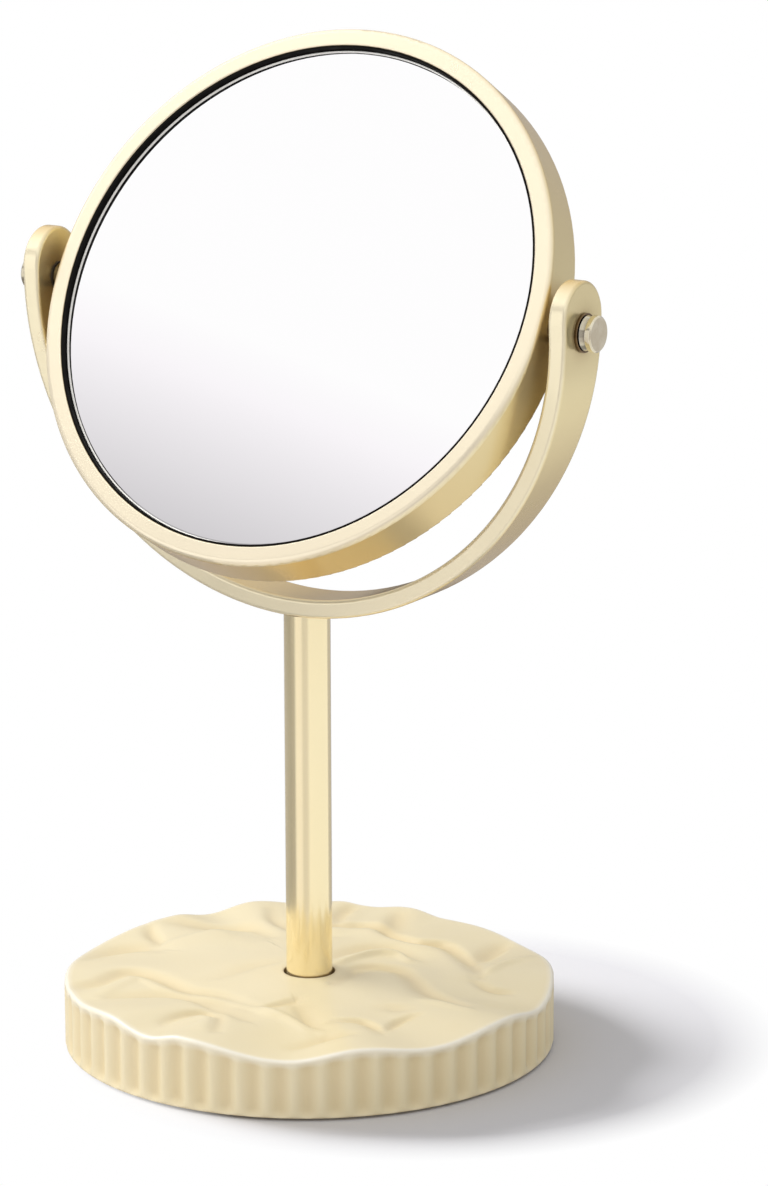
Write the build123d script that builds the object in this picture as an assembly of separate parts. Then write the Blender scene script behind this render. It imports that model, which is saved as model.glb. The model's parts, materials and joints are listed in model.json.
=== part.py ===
from build123d import *
import math
import os

# Round table mirror on a pedestal, in millimetres. +Z is up, the front faces -Y,
# and the origin is the centre of the underside.

# Mirror head
pivot_height = 244.3         # pivot axis above the table
mirror_lean = 30.0           # degrees that the glass leans back at rest
mirror_radius = 90.0         # outside of the frame band
mirror_depth = 17.5          # frame band, front to back
lip_width = 6.0              # flat face of the front and rear lips
lip_thickness = 2.5
band_wall = 1.4
front_edge_round = 1.9
rear_edge_round = 1.0
bezel_edge_round = 0.5
bezel_clearance = 0.1
glass_thickness = 2.2
glass_overlap = 2.8          # glass hidden behind the lip
glass_bevel_width = 4.6
glass_bevel_drop = 0.5
rear_glass_hollow = 3.2      # depth of the magnifying face at its centre
seal_flange = 0.4
seal_liner = 0.65
seal_gap = 0.05
seal_set_back = 0.3          # liner edge behind the lip's face
hoop_wall = 2.2
hoop_set_in = 0.6
hoop_gap = 0.25

# Yoke
yoke_gap = 4.5               # between the band and the yoke
yoke_thickness = 6.0
yoke_width = 24.0            # at the ears
yoke_foot_width = 16.4       # where it stands on the post
yoke_edge_round = 1.2
ear_rise = 16.0              # ear tip above the pivot axis

# Pivots, from the band outwards
pin_radius = 2.5
pin_hole_clearance = 0.05
pin_head_radius = 4.0
pin_head_thickness = 1.3
pin_end_gap = 0.3
running_clearance = 0.06
spacer_radius = 4.2
side_gap = 0.3               # free play between turning and still faces
bush_radius = 4.0
bush_hole_clearance = 0.02
bush_flange_radius = 4.6
bush_flange_thickness = 0.6
washer_radius = 6.2
washer_thickness = 1.0
washer_bore_clearance = 0.4
collar_radius = 5.5
collar_neck_radius = 4.9
collar_length = 1.6
groove_radius = 4.4
groove_width = 0.4
head_radius = 5.7
head_thickness = 2.0
head_chamfer = 0.45
knob_end_wall = 1.6

# Post
post_radius = 7.5
post_wall = 1.2
post_seat_depth = 2.5        # socket for the post in the weight
post_hole_clearance = 0.75   # dark gap round the post's foot
socket_clearance = 0.05
plug_clearance = 0.03
plug_length = 14.0
plug_set_back = 0.5
weld_gap = 0.05
stud_radius = 3.0
stud_length = 10.0
thread_clearance = 0.05
bolt_radius = 3.0
bolt_grip = 8.0              # bolt thread inside the lower insert
bolt_head_radius = 6.0
bolt_head_height = 3.5
bolt_socket_radius = 2.3
bolt_socket_depth = 2.0
bolt_washer_radius = 7.2
bolt_washer_thickness = 1.2
bolt_recess_radius = 8.0
bolt_head_gap = 0.3

# Base
base_radius = 79.7           # over the ridges of the flutes
base_height = 22.0           # mean height of the top
flute_count = 54
flute_depth = 0.9
plain_band = 2.2             # unfluted edge at the foot of the wall
shell_wall = 2.6
shell_top = 6.0
pad_thickness = 0.8
pad_inset = 3.0
plate_thickness = 2.2
plate_clearance = 0.2
weight_gap = 2.8             # between the weight and the screw bosses
weight_thickness = 10.0
weight_boss_radius = 16.0
screw_set_in = 8.2           # cover screws in from the wall
screw_count = 4
screw_radius = 1.5
screw_head_radius = 3.0
screw_head_height = 1.5
screw_length = 9.0
screw_clearance = 0.05
screw_end_gap = 1.0          # below the end of the hole in the boss
screw_slot_width = 0.8
screw_slot_depth = 0.7
boss_radius = 4.2

# Height of the rim, above or below its mean, at its crests and dips round the base:
# direction in degrees from +X, and rise
rim_waves = [
    (-176, -1.1), (-150, 0.6), (-129, 0.8), (-111, 2.6), (-98, 0.0), (-89, 2.2),
    (-63, -2.3), (-46, 0.9), (-28, -1.6), (-6, 1.1), (12, -2.4), (34, 0.8), (60, -1.9),
    (76, -1.4), (87, -1.7), (97, 0.3), (106, -0.9), (114, 0.5), (124, -0.4), (136, 1.1),
    (148, -1.6), (158, 0.3),
]
surface_steps = 36           # points each way across the top surface
surface_margin = 4.0
wave_reach = 0.45            # share of the radius where the waves begin
top_crown = 1.6              # swell of the top around the post
crown_reach = 0.6            # share of the radius where it ends

# Worked out from the sizes above
opening_radius = mirror_radius - lip_width
band_inner = mirror_radius - band_wall
glass_radius = opening_radius + glass_overlap
front_face = mirror_depth / 2
glass_face = front_face - lip_thickness - seal_flange
yoke_inner = mirror_radius + yoke_gap
yoke_outer = yoke_inner + yoke_thickness
yoke_foot = pivot_height - yoke_outer
bush_bore = pin_radius + running_clearance
knob_start = yoke_outer + washer_thickness + side_gap
knob_end = knob_start + collar_length + groove_width + head_thickness
pin_end = knob_end - knob_end_wall - pin_end_gap
shell_foot = pad_thickness
plate_top = shell_foot + plate_thickness
weight_top = plate_top + weight_thickness
post_foot = weight_top - post_seat_depth
post_bore = post_radius - post_wall
cavity_radius = base_radius - flute_depth - shell_wall
cavity_top = base_height - shell_top
screw_circle = cavity_radius - screw_set_in
weight_radius = screw_circle - boss_radius - weight_gap
washer_seat = plate_top + bolt_head_gap + bolt_head_height + bolt_washer_thickness


def lathe(outline):
    """Turned solid about Z, from a sketch drawn as (radius, height)."""
    return revolve(Plane.XZ * outline, Axis.Z)


def section(*points):
    return make_face(Polyline(*points, close=True))


def rounded(outline, radius, *places):
    """Rounds the outline's corners at the given points."""
    for place in places:
        corner = outline.vertices().sort_by_distance(place)[0]
        outline = fillet(corner, radius)
    return outline


def tube(outer, inner, bottom, top):
    return lathe(section((inner, bottom), (outer, bottom), (outer, top), (inner, top)))


def rod(radius, bottom, top):
    return Pos(0, 0, (bottom + top) / 2) * Cylinder(radius, top - bottom)


def on_mirror(piece):
    """From the mirror's own frame, where Z is the way it faces."""
    return Pos(0, 0, pivot_height) * Rot(90 - mirror_lean, 0, 0) * piece


def on_pivot(piece, side):
    """From a turning axis along Z to the pivot axis, side 1 right or -1 left."""
    return Pos(0, 0, pivot_height) * Rot(0, 90 * side, 0) * piece


# ---- mirror head ----

def frame_ring():
    outline = section(
        (opening_radius, front_face),
        (mirror_radius, front_face),
        (mirror_radius, -front_face),
        (band_inner, -front_face),
        (band_inner, front_face - lip_thickness),
        (opening_radius, front_face - lip_thickness),
    )
    outline = rounded(outline, front_edge_round, (mirror_radius, front_face))
    outline = rounded(outline, rear_edge_round, (mirror_radius, -front_face))
    outline = rounded(outline, bezel_edge_round, (opening_radius, front_face))
    hole = Rot(0, 90, 0) * Cylinder(pin_radius + pin_hole_clearance, 3 * mirror_radius)
    return on_mirror(lathe(outline) - hole)


def rear_bezel():
    outer = band_inner - bezel_clearance
    outline = section(
        (opening_radius, -front_face),
        (outer, -front_face),
        (outer, lip_thickness - front_face),
        (opening_radius, lip_thickness - front_face),
    )
    outline = rounded(outline, bezel_edge_round, (opening_radius, -front_face))
    return on_mirror(lathe(outline))


def seal(way):
    """L-shaped lining, way 1 on the front and -1 on the back."""
    outer = opening_radius - seal_gap
    inner = outer - seal_liner
    back = way * glass_face
    flange = way * (glass_face + seal_flange - seal_gap)
    edge = way * (front_face - seal_set_back)
    outline = section(
        (inner, back), (glass_radius, back), (glass_radius, flange),
        (outer, flange), (outer, edge), (inner, edge),
    )
    return on_mirror(lathe(outline))


def front_glass():
    outline = section(
        (0, glass_face - glass_thickness),
        (glass_radius, glass_face - glass_thickness),
        (glass_radius, glass_face - glass_bevel_drop),
        (glass_radius - glass_bevel_width, glass_face),
        (0, glass_face),
    )
    return on_mirror(lathe(outline))


def hollow_arc(edge_height):
    """Half of a shallow bowl's line, from the centre out to the glass's edge."""
    sphere = (glass_radius ** 2 + rear_glass_hollow ** 2) / (2 * rear_glass_hollow)
    reach = glass_radius / 2
    sag = sphere - math.sqrt(sphere ** 2 - reach ** 2)
    centre = (0, edge_height + rear_glass_hollow)
    middle = (reach, edge_height + rear_glass_hollow - sag)
    return ThreePointArc(centre, middle, (glass_radius, edge_height))


def rear_glass():
    rear = hollow_arc(-glass_face)
    front = hollow_arc(-glass_face + glass_thickness)
    outline = make_face([rear, Line(rear @ 1, front @ 1), front, Line(front @ 0, rear @ 0)])
    return on_mirror(lathe(outline))


def spacer_hoop():
    outer = glass_radius - hoop_set_in
    inner = outer - hoop_wall
    bottom = glass_thickness - glass_face + hoop_gap
    return on_mirror(tube(outer, inner, bottom, glass_face - glass_thickness))


# ---- pivots ----

def pivot_pin(side):
    # the flat head touches the round inside of the band at its rim
    seat = math.sqrt(band_inner ** 2 - pin_head_radius ** 2)
    pin = rod(pin_head_radius, seat - pin_head_thickness, seat)
    pin += rod(pin_radius, seat, pin_end)
    return on_pivot(pin, side)


def pivot_spacer(side):
    bore = pin_radius + pin_hole_clearance
    end = yoke_inner - bush_flange_thickness - side_gap
    return on_pivot(tube(spacer_radius, bore, mirror_radius, end), side)


def ear_bush(side):
    bush = tube(bush_radius, bush_bore, yoke_inner, yoke_outer)
    bush += tube(bush_flange_radius, bush_bore, yoke_inner - bush_flange_thickness, yoke_inner)
    return on_pivot(bush, side)


def outer_washer(side):
    bore = pin_radius + washer_bore_clearance
    top = yoke_outer + washer_thickness
    outline = section((bore, yoke_outer), (washer_radius, yoke_outer), (washer_radius, top), (bore, top))
    outline = rounded(outline, washer_thickness / 3, (washer_radius, top))
    return on_pivot(lathe(outline), side)


def clamp_knob(side):
    collar_end = knob_start + collar_length
    head_start = collar_end + groove_width
    outline = section(
        (0, knob_start),
        (collar_radius, knob_start),
        (collar_neck_radius, collar_end),
        (groove_radius, collar_end),
        (groove_radius, head_start),
        (head_radius, head_start),
        (head_radius, knob_end - head_chamfer),
        (head_radius - head_chamfer, knob_end),
        (0, knob_end),
    )
    bore = rod(bush_bore, knob_start, knob_end - knob_end_wall)
    return on_pivot(lathe(outline) - bore, side)


# ---- yoke and post ----

def yoke():
    lower_half = Pos(0, -yoke_outer / 2) * Rectangle(2 * yoke_outer, yoke_outer)
    profile = (Circle(yoke_outer) - Circle(yoke_inner)) & lower_half
    for side in (1, -1):
        middle = side * (yoke_inner + yoke_thickness / 2)
        profile += Pos(middle, ear_rise / 2) * Rectangle(yoke_thickness, ear_rise)
    strip = extrude(Plane.XZ * profile, yoke_width / 2, both=True)

    # seen from the side, it widens from the post up to round ears
    tip_radius = yoke_width / 2
    tip = Pos(0, ear_rise - tip_radius) * Circle(tip_radius)
    foot = Pos(0, -yoke_outer) * Line((-yoke_foot_width / 2, 0), (yoke_foot_width / 2, 0))
    tongue = make_hull(tip.edges() + ShapeList([foot.edge()]))
    strip &= extrude(Plane.YZ * tongue, 2 * yoke_outer, both=True)

    along_strip = strip.edges() - strip.edges().filter_by(Axis.Y) - strip.edges().filter_by(Axis.X)
    strip = fillet(along_strip, yoke_edge_round)
    strip -= Rot(0, 90, 0) * Cylinder(bush_radius + bush_hole_clearance, 3 * yoke_outer)
    # a spot face seats the bush's flange where the strip starts to curve
    spot_face = Rot(0, 90, 0) * Cylinder(bush_flange_radius + bush_hole_clearance, 2 * yoke_inner)
    return Pos(0, 0, pivot_height) * (strip - spot_face)


def post_tube():
    post = tube(post_radius, post_bore, post_foot, yoke_foot + post_radius)
    saddle = Pos(0, 0, pivot_height) * Rot(90, 0, 0) * Cylinder(yoke_outer + weld_gap, 4 * post_radius)
    return post - saddle


def plug(bottom, bore):
    return tube(post_bore - plug_clearance, bore, bottom, bottom + plug_length)


def post_bottom_plug():
    return plug(post_foot, bolt_radius + thread_clearance)


def post_top_plug():
    return plug(yoke_foot - plug_set_back - plug_length, stud_radius + thread_clearance)


def yoke_stud():
    return rod(stud_radius, yoke_foot - stud_length, yoke_foot)


def post_bolt():
    head_foot = plate_top + bolt_head_gap
    head_top = head_foot + bolt_head_height
    bolt = rod(bolt_head_radius, head_foot, head_top)
    bolt += rod(bolt_radius, head_top, post_foot + bolt_grip)
    socket = extrude(RegularPolygon(bolt_socket_radius, 6), bolt_socket_depth)
    return bolt - Pos(0, 0, head_foot) * socket


def post_bolt_washer():
    bore = bolt_radius + bolt_head_gap
    return tube(bolt_washer_radius, bore, washer_seat - bolt_washer_thickness, washer_seat)


# ---- base ----

def rim_rise(direction):
    """Height of the wavy rim in a direction, eased from each crest to the next dip."""
    stops = rim_waves + [(rim_waves[0][0] + 360, rim_waves[0][1])]
    if direction < stops[0][0]:
        direction += 360
    for (start, low), (end, high) in zip(stops, stops[1:]):
        if start <= direction <= end:
            ease = (1 - math.cos(math.pi * (direction - start) / (end - start))) / 2
            return low + (high - low) * ease
    return 0.0


def eased(share):
    """0 to 1 without a corner at either end."""
    share = min(max(share, 0), 1)
    return share * share * (3 - 2 * share)


def top_point(x, y):
    reach = math.hypot(x, y) / base_radius
    wave = rim_rise(math.degrees(math.atan2(y, x))) * eased((reach - wave_reach) / (1 - wave_reach))
    return (x, y, base_height + wave + top_crown * eased(1 - reach / crown_reach))


def below_top():
    """Everything under the base's wavy top surface."""
    half = base_radius + surface_margin
    steps = [half * (2 * i / (surface_steps - 1) - 1) for i in range(surface_steps)]
    points = [[top_point(x, y) for x in steps] for y in steps]
    surface = Face.make_surface_from_array_of_points(points)
    return extrude(surface, 2 * base_height, dir=(0, 0, -1))


def ring_point(radius, angle):
    return (radius * math.cos(angle), radius * math.sin(angle))


def fluted_outline():
    pitch = 2 * math.pi / flute_count
    arcs = []
    for i in range(flute_count):
        start = i * pitch
        ridge = ring_point(base_radius, start)
        hollow = ring_point(base_radius - flute_depth, start + pitch / 2)
        next_ridge = ring_point(base_radius, start + pitch)
        arcs.append(ThreePointArc(ridge, hollow, next_ridge))
    return make_face(arcs)


def screw_places():
    return PolarLocations(screw_circle, screw_count, start_angle=180 / screw_count)


def base_shell():
    wall = Pos(0, 0, shell_foot) * extrude(fluted_outline(), 1.5 * base_height)
    body = (wall & below_top()) + rod(base_radius, shell_foot, shell_foot + plain_band)
    body -= rod(cavity_radius, shell_foot, cavity_top)
    body += rod(weight_boss_radius, weight_top, cavity_top)
    bosses = [place * rod(boss_radius, plate_top, cavity_top) for place in screw_places()]
    body += bosses
    screw_bore = screw_radius + screw_clearance
    screw_top = shell_foot + screw_length + screw_end_gap
    body -= [place * rod(screw_bore, plate_top, screw_top) for place in screw_places()]
    return body - rod(post_radius + post_hole_clearance, shell_foot, 2 * base_height)


def countersunk(clearance):
    """Outline of a countersunk screw, standing on its head."""
    head = screw_head_radius + clearance
    shank = screw_radius + clearance
    outline = section(
        (0, 0), (head, 0), (shank, screw_head_height), (shank, screw_length), (0, screw_length),
    )
    return lathe(outline)


def base_plate():
    plate = rod(cavity_radius - plate_clearance, shell_foot, plate_top)
    hole = Pos(0, 0, shell_foot) * countersunk(screw_clearance)
    return plate - [place * hole for place in screw_places()]


def base_plate_screws():
    slot = Pos(0, 0, screw_slot_depth / 2) * Box(3 * screw_head_radius, screw_slot_width, screw_slot_depth)
    screw = countersunk(0) - slot
    return Compound([(place * Pos(0, 0, shell_foot) * screw).solid() for place in screw_places()])


def base_pad():
    return rod(cavity_radius - pad_inset, 0, pad_thickness)


def base_weight():
    weight = rod(weight_radius, plate_top, weight_top)
    weight -= rod(post_radius + socket_clearance, post_foot, weight_top)
    weight -= rod(bolt_recess_radius, plate_top, washer_seat)
    return weight - rod(bolt_radius + bolt_head_gap, plate_top, weight_top)


def all_pieces():
    pieces = {
        "base_shell": base_shell(),
        "base_plate": base_plate(),
        "base_plate_screws": base_plate_screws(),
        "base_pad": base_pad(),
        "base_weight": base_weight(),
        "post_tube": post_tube(),
        "post_bottom_plug": post_bottom_plug(),
        "post_top_plug": post_top_plug(),
        "post_bolt": post_bolt(),
        "post_bolt_washer": post_bolt_washer(),
        "yoke_stud": yoke_stud(),
        "yoke": yoke(),
        "frame_ring": frame_ring(),
        "rear_bezel": rear_bezel(),
        "front_seal": seal(1),
        "rear_seal": seal(-1),
        "front_glass": front_glass(),
        "rear_glass": rear_glass(),
        "spacer_hoop": spacer_hoop(),
    }
    for side, word in ((-1, "left"), (1, "right")):
        pieces["pivot_pin_" + word] = pivot_pin(side)
        pieces["pivot_spacer_" + word] = pivot_spacer(side)
        pieces["ear_bush_" + word] = ear_bush(side)
        pieces["outer_washer_" + word] = outer_washer(side)
        pieces["clamp_knob_" + word] = clamp_knob(side)
    return pieces


os.makedirs("parts", exist_ok=True)
for name, piece in all_pieces().items():
    export_step(piece, "parts/" + name + ".step")
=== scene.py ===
import json
import math

import bpy
import numpy as np
from mathutils import Matrix, Vector


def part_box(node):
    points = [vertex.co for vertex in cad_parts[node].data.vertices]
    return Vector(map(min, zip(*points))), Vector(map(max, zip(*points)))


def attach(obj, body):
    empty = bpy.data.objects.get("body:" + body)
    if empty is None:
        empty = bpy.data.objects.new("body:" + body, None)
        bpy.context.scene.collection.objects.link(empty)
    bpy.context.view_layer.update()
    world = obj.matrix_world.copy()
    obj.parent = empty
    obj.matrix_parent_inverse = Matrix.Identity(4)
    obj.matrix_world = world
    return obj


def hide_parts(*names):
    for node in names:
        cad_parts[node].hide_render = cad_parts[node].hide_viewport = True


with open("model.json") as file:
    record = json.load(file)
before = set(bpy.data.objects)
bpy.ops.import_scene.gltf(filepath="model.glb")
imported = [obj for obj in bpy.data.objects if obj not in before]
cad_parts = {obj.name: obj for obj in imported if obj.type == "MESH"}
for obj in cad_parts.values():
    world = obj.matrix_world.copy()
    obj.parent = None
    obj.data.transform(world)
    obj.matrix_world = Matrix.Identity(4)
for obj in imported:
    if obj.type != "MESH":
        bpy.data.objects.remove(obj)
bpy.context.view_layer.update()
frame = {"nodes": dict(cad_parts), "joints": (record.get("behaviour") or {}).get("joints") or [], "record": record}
bpy.ops.object.select_all(action="DESELECT")
print("CAD frame loaded")

mm = 0.001


def addGroup(name, inputs, outputs):
    # a shader node group with its sockets, and the nodes at its two ends
    group = bpy.data.node_groups.new(name, "ShaderNodeTree")
    for label, kind, value in inputs:
        socket = group.interface.new_socket(label, in_out="INPUT", socket_type=kind)
        socket.default_value = value
    for label, kind in outputs:
        group.interface.new_socket(label, in_out="OUTPUT", socket_type=kind)
    start = group.nodes.new("NodeGroupInput")
    end = group.nodes.new("NodeGroupOutput")
    return group, start, end


def node(tree, kind, **values):
    made = tree.nodes.new(kind)
    for key, value in values.items():
        setattr(made, key, value)
    return made


def mathNode(tree, operation, first, second, clamp=False):
    # first and second are sockets or numbers
    made = node(tree, "ShaderNodeMath", operation=operation, use_clamp=clamp)
    for socket, value in zip(made.inputs, (first, second)):
        if isinstance(value, (int, float)):
            socket.default_value = value
        else:
            tree.links.new(value, socket)
    return made.outputs[0]


def noise(tree, vector, scale, detail=2.0, rough=0.5):
    made = node(tree, "ShaderNodeTexNoise")
    made.inputs["Detail"].default_value = detail
    made.inputs["Roughness"].default_value = rough
    tree.links.new(vector, made.inputs["Vector"])
    if isinstance(scale, (int, float)):
        made.inputs["Scale"].default_value = scale
    else:
        tree.links.new(scale, made.inputs["Scale"])
    return made.outputs["Fac"]


def remap(tree, value, low, high, newLow, newHigh):
    made = node(tree, "ShaderNodeMapRange")
    tree.links.new(value, made.inputs["Value"])
    for label, number in (("From Min", low), ("From Max", high), ("To Min", newLow), ("To Max", newHigh)):
        if isinstance(number, (int, float)):
            made.inputs[label].default_value = number
        else:
            tree.links.new(number, made.inputs[label])
    return made.outputs["Result"]


def mixColour(tree, share, first, second):
    # sockets 6 and 7 of the Mix node are its two colours, and output 2 is the mixed one
    made = node(tree, "ShaderNodeMix", data_type="RGBA")
    tree.links.new(share, made.inputs[0])
    for socket, value in ((made.inputs[6], first), (made.inputs[7], second)):
        if hasattr(value, "default_value"):
            tree.links.new(value, socket)
        else:
            socket.default_value = (*value, 1.0)
    return made.outputs[2]


# what the finish and wear groups read as none and as all: bands of the noise, cosines between normals
weathering = {
    "driftSpread": (0.35, 0.65),
    "smudgeSpread": (0.4, 0.7),
    "edgeLean": (0.995, 0.90),      # true normal against the bevelled one
    "patchSpread": (0.35, 0.6),
    "patchLeast": 0.25,             # wear that is left between the patches
    "openness": (0.9, 0.35),        # share of open space over the surface, from no painted shade to full painted shade
    "faceLean": (0.15, 0.85),       # face against its axis
}


# a coat or polish that is never quite even: slow colour drift, handling smudges and fine grain
def buildFinishGroup():
    group, start, end = addGroup(
        "unevenFinish",
        [("Colour", "NodeSocketColor", (0.8, 0.8, 0.8, 1)),
         ("Drift Colour", "NodeSocketColor", (0.7, 0.7, 0.7, 1)),
         ("Drift", "NodeSocketFloat", 0.5), ("Drift Scale", "NodeSocketFloat", 30.0),
         ("Roughness", "NodeSocketFloat", 0.3), ("Smudge", "NodeSocketFloat", 0.08),
         ("Smudge Scale", "NodeSocketFloat", 60.0), ("Grain Scale", "NodeSocketFloat", 2500.0)],
        [("Colour", "NodeSocketColor"), ("Roughness", "NodeSocketFloat"), ("Height", "NodeSocketFloat")])
    place = node(group, "ShaderNodeTexCoord").outputs["Object"]
    slow = noise(group, place, start.outputs["Drift Scale"], detail=3.0)
    slow = remap(group, slow, *weathering["driftSpread"], 0.0, start.outputs["Drift"])
    colour = mixColour(group, slow, start.outputs["Colour"], start.outputs["Drift Colour"])
    smudges = noise(group, place, start.outputs["Smudge Scale"], detail=4.0, rough=0.6)
    smudges = remap(group, smudges, *weathering["smudgeSpread"], 0.0, start.outputs["Smudge"])
    rough = mathNode(group, "ADD", start.outputs["Roughness"], smudges, clamp=True)
    grain = noise(group, place, start.outputs["Grain Scale"])
    group.links.new(colour, end.inputs["Colour"])
    group.links.new(rough, end.inputs["Roughness"])
    group.links.new(grain, end.inputs["Height"])
    return group


# where handling has rubbed an edge: the bevelled normal leaves the true one there, broken up by noise
def buildWearGroup():
    group, start, end = addGroup(
        "rubbedEdges",
        [("Edge Width", "NodeSocketFloat", 0.0006), ("Patch Scale", "NodeSocketFloat", 120.0),
         ("Amount", "NodeSocketFloat", 0.5)],
        [("Mask", "NodeSocketFloat")])
    bevel = node(group, "ShaderNodeBevel", samples=4)
    group.links.new(start.outputs["Edge Width"], bevel.inputs["Radius"])
    trueNormal = node(group, "ShaderNodeNewGeometry").outputs["Normal"]
    match = node(group, "ShaderNodeVectorMath", operation="DOT_PRODUCT")
    group.links.new(bevel.outputs[0], match.inputs[0])
    group.links.new(trueNormal, match.inputs[1])
    edge = remap(group, match.outputs["Value"], *weathering["edgeLean"], 0.0, 1.0)
    place = node(group, "ShaderNodeTexCoord").outputs["Object"]
    patches = noise(group, place, start.outputs["Patch Scale"], detail=4.0, rough=0.6)
    patches = remap(group, patches, *weathering["patchSpread"], weathering["patchLeast"], 1.0)
    rubbed = mathNode(group, "MULTIPLY", edge, patches)
    mask = mathNode(group, "MULTIPLY", rubbed, start.outputs["Amount"], clamp=True)
    group.links.new(mask, end.inputs["Mask"])
    return group


# painted shade: colour darkened where surfaces close in, in crevices and between parts
def buildCreviceShadeGroup():
    group, start, end = addGroup(
        "paintedCreviceShade",
        [("Reach", "NodeSocketFloat", 0.003), ("Amount", "NodeSocketFloat", 0.5)],
        [("Mask", "NodeSocketFloat")])
    near = node(group, "ShaderNodeAmbientOcclusion", samples=6)
    group.links.new(start.outputs["Reach"], near.inputs["Distance"])
    shut = remap(group, near.outputs["AO"], *weathering["openness"], 0.0, 1.0)
    mask = mathNode(group, "MULTIPLY", shut, start.outputs["Amount"], clamp=True)
    group.links.new(mask, end.inputs["Mask"])
    return group


# faces that look along an axis of the piece, either way
def buildFaceGroup():
    group, start, end = addGroup(
        "facingAlong",
        [("Axis", "NodeSocketVector", (0, 1, 0))],
        [("Share", "NodeSocketFloat")])
    normal = node(group, "ShaderNodeTexCoord").outputs["Normal"]
    match = node(group, "ShaderNodeVectorMath", operation="DOT_PRODUCT")
    group.links.new(normal, match.inputs[0])
    group.links.new(start.outputs["Axis"], match.inputs[1])
    along = mathNode(group, "ABSOLUTE", match.outputs["Value"], 0.0)
    share = remap(group, along, *weathering["faceLean"], 0.0, 1.0)
    group.links.new(share, end.inputs["Share"])
    return group


finishGroup = buildFinishGroup()
wearGroup = buildWearGroup()
faceGroup = buildFaceGroup()
creviceShadeGroup = buildCreviceShadeGroup()


def finishMaterial(name, look):
    material = bpy.data.materials.new(name)
    material.use_nodes = True
    tree = material.node_tree
    shader = tree.nodes["Principled BSDF"]
    finish = node(tree, "ShaderNodeGroup", node_tree=finishGroup)
    for label in ("Colour", "Drift Colour"):
        finish.inputs[label].default_value = (*look[label], 1.0)
    for label in ("Drift", "Drift Scale", "Roughness", "Smudge", "Smudge Scale", "Grain Scale"):
        finish.inputs[label].default_value = look[label]
    bump = node(tree, "ShaderNodeBump")
    bump.inputs["Strength"].default_value = look["bumpStrength"]
    bump.inputs["Distance"].default_value = look["bumpDistance"]
    colour = finish.outputs["Colour"]
    for label, tint, amount in look.get("paintedLightTints", []):
        # shares stored on the mesh that paint light and shade, such as painted shade in hollows and a painted
        # highlight on rims
        share = node(tree, "ShaderNodeAttribute", attribute_name=label).outputs["Fac"]
        share = mathNode(tree, "MULTIPLY", share, amount, clamp=True)
        colour = mixColour(tree, share, colour, tint)
    if "faceAxis" in look:
        # painted shade on faces that look up or down, and a painted highlight on the flat faces that look along
        # the piece's axis
        facing = node(tree, "ShaderNodeGroup", node_tree=faceGroup)
        facing.inputs["Axis"].default_value = look["faceAxis"]
        upright = node(tree, "ShaderNodeGroup", node_tree=faceGroup)
        upright.inputs["Axis"].default_value = (0, 0, 1)
        colour = mixColour(tree, upright.outputs["Share"], colour, look["levelShadeColour"])
        colour = mixColour(tree, facing.outputs["Share"], colour, look["faceHighlightColour"])
    wear = node(tree, "ShaderNodeGroup", node_tree=wearGroup)
    wear.inputs["Edge Width"].default_value = look["edgeWidth"]
    wear.inputs["Patch Scale"].default_value = look["Smudge Scale"] * 2     # patches half as wide as smudges
    wear.inputs["Amount"].default_value = look["wear"]
    colour = mixColour(tree, wear.outputs["Mask"], colour, look["wornColour"])
    # painted shade in crevices and between parts
    if "creviceShade" in look:
        creviceShade = node(tree, "ShaderNodeGroup", node_tree=creviceShadeGroup)
        creviceShade.inputs["Reach"].default_value, creviceShade.inputs["Amount"].default_value = look["creviceShade"]
        colour = mixColour(tree, creviceShade.outputs["Mask"], colour, look["creviceShadeColour"])
    tree.links.new(colour, shader.inputs["Base Color"])
    tree.links.new(finish.outputs["Roughness"], shader.inputs["Roughness"])
    tree.links.new(finish.outputs["Height"], bump.inputs["Height"])
    tree.links.new(bump.outputs["Normal"], shader.inputs["Normal"])
    for label, value in look.get("shader", {}).items():
        shader.inputs[label].default_value = value
    return material


mirrorLean = math.radians(30)
mirrorAxis = Vector((0, -math.cos(mirrorLean), math.sin(mirrorLean)))    # out of the front glass

# looks of the finishes: lengths are in metres, scales are per metre, and the painted shade in crevices is given as
# (reach, amount)
lacquerLook = {
    "Colour": (0.91, 0.785, 0.45), "Drift Colour": (0.88, 0.745, 0.405), "Drift": 0.5, "Drift Scale": 14.0,
    "Roughness": 0.22, "Smudge": 0.06, "Smudge Scale": 45.0, "Grain Scale": 1600.0,
    "bumpStrength": 0.12, "bumpDistance": 0.00012,
    # painted shade on faces that look up or down
    "levelShadeColour": (0.70, 0.51, 0.22),
    "creviceShade": (0.007, 0.75), "creviceShadeColour": (0.42, 0.27, 0.09),
    "edgeWidth": 0.0008, "wear": 0.5, "wornColour": (0.98, 0.93, 0.78),
    "shader": {"Metallic": 0.65, "Coat Weight": 0.08, "Coat Roughness": 0.15, "Specular IOR Level": 0.25},
}
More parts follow.
